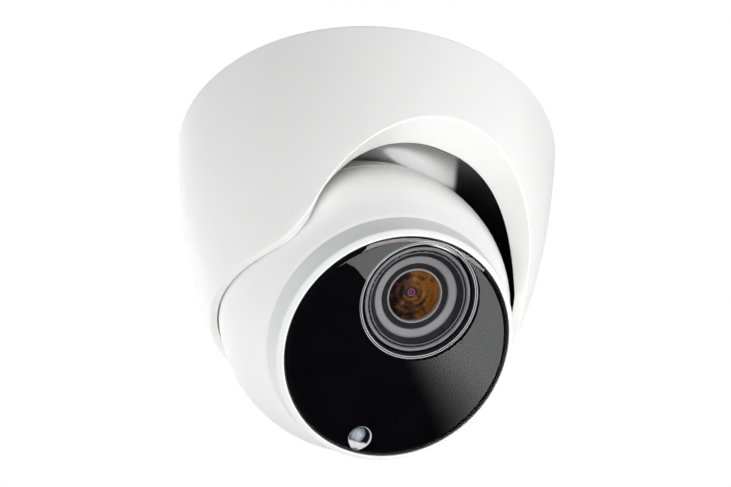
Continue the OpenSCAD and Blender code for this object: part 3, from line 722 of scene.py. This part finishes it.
cell = dict(up=CELL_UP, side=CELL_SIDE)
turned("light_sensor_fine", [(0.0, 28.0), (3.1, 28.0), (3.1, 29.8), (3.0, 29.95)]
       + [(3.0 * math.cos(t), 29.95 + 2.95 * math.sin(t)) for t in np.linspace(0.03, math.pi / 2, 16)],
       M["sensor_pearl"], replaced=["light_sensor"], slot="sensor_clear", closed=False, segments=96, **cell)
shroud = turned("sensor_shroud_fine", rounded([
    (3.35, 28.0), (4.1, 28.0), (4.1, 33.68, 0.08), (3.82, 33.68, 0.08), (3.5, 33.2, 0.1), (3.4, 32.8, 0.05)]),
    [M["black_plastic"], M["ring_white"]], replaced=["sensor_shroud"], slot="black_plastic", segments=96, **cell)
paint(shroud, 1, lambda r, z: z > 33.1, CELL_UP, CELL_SIDE)

# ---- camera, light and floor ------------------------------------------------

CAMERA_AT = Vector((-0.23677, -0.39685, -0.40613))
CAMERA_AXES = ((0.85328, -0.52129, 0.01282), (-0.3338, -0.52716, 0.78146), (-0.40061, -0.67108, -0.62383))
cam = bpy.data.objects.new("camera", bpy.data.cameras.new("camera"))
SCENE.collection.objects.link(cam)
cam.data.sensor_width = 36.0
cam.data.lens = 86.32
cam.data.clip_start, cam.data.clip_end = 0.01, 20.0
cam.matrix_world = Matrix.Translation(CAMERA_AT) @ Matrix(CAMERA_AXES).transposed().to_4x4()
SCENE.camera = cam
SCENE.view_settings.view_transform = "Standard"

# what a ray that leaves the object meets: the camera's white, or a dimmer level
WORLD_LEVELS = {"seen": 1.0, "mirrored": 0.04, "through": 0.12, "lights": 0.02}
world = bpy.data.worlds.new("studio")
SCENE.world = world
world.use_nodes = True
wt = world.node_tree
wt.nodes.clear()
path = wt.nodes.new("ShaderNodeLightPath")
shades = {key: node(wt, "ShaderNodeBackground", Color=(level, level, level, 1.0)).outputs[0]
          for key, level in WORLD_LEVELS.items()}
shade = mixed(wt, path.outputs["Is Glossy Ray"], shades["lights"], shades["mirrored"])
shade = mixed(wt, path.outputs["Is Transmission Ray"], shade, shades["through"])
shade = mixed(wt, path.outputs["Is Camera Ray"], shade, shades["seen"])
world.cycles.sampling_method = "NONE"
wt.links.new(shade, wt.nodes.new("ShaderNodeOutputWorld").inputs["Surface"])


def soft_light(name, direction, distance, size, power):
    """A soft area light that looks at the eyeball from a direction, and that shows nowhere itself."""
    data = bpy.data.lights.new(name, "AREA")
    data.shape = "DISK"
    data.size = size
    data.energy = power
    obj = bpy.data.objects.new(name, data)
    SCENE.collection.objects.link(obj)
    d = Vector(direction).normalized()
    obj.location = LIT_POINT + d * distance
    obj.rotation_mode = "QUATERNION"
    obj.rotation_quaternion = d.to_track_quat("Z", "Y")
    obj.visible_camera = False
    obj.visible_glossy = False
    obj.visible_transmission = False
    return obj


LIT_POINT = Vector((0, 0, -0.05))
LIGHT_DISTANCE, LIGHT_SIZE = 1.3, 0.8
# azimuth from the front, elevation and watts: most of the light comes from behind, above and both sides
LIGHTS = ((180, 30, 26.0), (-140, 12, 14.1), (120, -5, 10.3), (60, 12, 8.5), (-45, -40, 8.1), (140, 12, 6.4),
          (0, -5, 5.6), (90, -40, 3.9), (20, 12, 1.4), (-45, 30, 1.0))
for az, el, watts in LIGHTS:
    a, e = math.radians(az), math.radians(el)
    way = (math.sin(a) * math.cos(e), -math.cos(a) * math.cos(e), math.sin(e))
    soft_light("light_%d_%d" % (az, el), way, LIGHT_DISTANCE, LIGHT_SIZE, watts)

# light that reaches the shield between it and the eyeball
gap_way = Vector((0.1, -0.6, 0.79)).normalized()
gap_light = soft_light("gap_light", gap_way, 0.1, 0.03, 0.0012)
gap_light.location = Vector(tuple(BALL * MM)) + gap_way * 0.0497
gap_light.rotation_quaternion = (-gap_way).to_track_quat("Z", "Y")



def stage_plane(name, corners, mat):
    """A flat piece of the studio that isn't part of the object."""
    mesh = bpy.data.meshes.new(name)
    mesh.from_pydata([tuple(c) for c in corners], [], [(0, 1, 2, 3)])
    mesh.materials.append(mat)
    obj = bpy.data.objects.new(name, mesh)
    SCENE.collection.objects.link(obj)
    return obj


def mirrored_only(obj):
    """Shows only in what mirrors it, and lights nothing."""
    obj.visible_camera = False
    obj.visible_diffuse = False
    obj.visible_transmission = False
    obj.visible_shadow = False


def glow_material(name):
    """An emission material: its node tree and its emission node."""
    mat = bpy.data.materials.new(name)
    mat.use_nodes = True
    nt = mat.node_tree
    nt.nodes.clear()
    glow = nt.nodes.new("ShaderNodeEmission")
    nt.links.new(glow.outputs[0], nt.nodes.new("ShaderNodeOutputMaterial").inputs["Surface"])
    return mat, nt, glow


# the softbox that the front glass mirrors, sharp along one side and fading along the other
GLASS_MID = np.array([-0.0024, -0.0258, -0.0898])
BOX_WAY, BOX_DISTANCE, BOX_HALF = np.array([0.433, -0.340, -0.835]), 0.9, 0.3
BOX_U, BOX_V = np.array([0.617, 0.787, 0.0]), np.array([0.657, -0.515, 0.551])
BOX_STRENGTH = 3.0
sm, st, glow = glow_material("softbox_glow")
box_uv = [(i * BOX_HALF, k * BOX_HALF) for i, k in ((-1, -1), (1, -1), (1, 1), (-1, 1))]
box_mid = GLASS_MID + BOX_WAY * BOX_DISTANCE
softbox = stage_plane("softbox", [box_mid + (BOX_U * a + BOX_V * b) for a, b in box_uv], sm)
uv_layer = softbox.data.uv_layers.new(name="UVMap")
for i, c in enumerate(box_uv):
    uv_layer.data[i].uv = c
mirrored_only(softbox)
# it ends at the line v = 0.006 + 0.3 u, which softens as u grows
sep = st.nodes.new("ShaderNodeSeparateXYZ")
st.links.new(st.nodes.new("ShaderNodeUVMap").outputs[0], sep.inputs[0])
u, v = sep.outputs[0], sep.outputs[1]
over = math_in(st, "SUBTRACT", v, math_in(st, "ADD", math_in(st, "MULTIPLY", u, 0.3), 0.006))
blur = math_in(st, "MAXIMUM", math_in(st, "MULTIPLY", math_in(st, "ADD", u, 0.045), 0.6), 0.0008)
share = soft_step(st, math_in(st, "DIVIDE", over, blur), -0.5, 0.5)
st.links.new(math_in(st, "MULTIPLY", share, BOX_STRENGTH), glow.inputs["Strength"])

# a second box, high in front, which only the curved edge of the glass catches as a pale crescent
EDGE_WAYS = ((0.56, -0.6, -0.58), (0.75, -0.66, -0.05), (-0.3, -0.9, -0.3), (0.1, -0.66, -0.745))
EDGE_DISTANCE = 0.95
em, _, glow = glow_material("edge_glow")
glow.inputs["Color"].default_value = (1.0, 0.93, 0.87, 1.0)
glow.inputs["Strength"].default_value = 8.0
mirrored_only(stage_plane("edge_box", [GLASS_MID + np.array(d) * EDGE_DISTANCE for d in EDGE_WAYS], em))

FLOOR_Z, FLOOR_HALF = -1.1, 6.0
floor_obj = stage_plane("floor", [(i * FLOOR_HALF, k * FLOOR_HALF, FLOOR_Z)
                                  for i, k in ((-1, -1), (1, -1), (1, 1), (-1, 1))],
                        material("floor_pale", (0.82, 0.82, 0.82), 0.7, 0.01, 2, 60, 0.0))
floor_obj.visible_glossy = False
floor_obj.visible_transmission = False
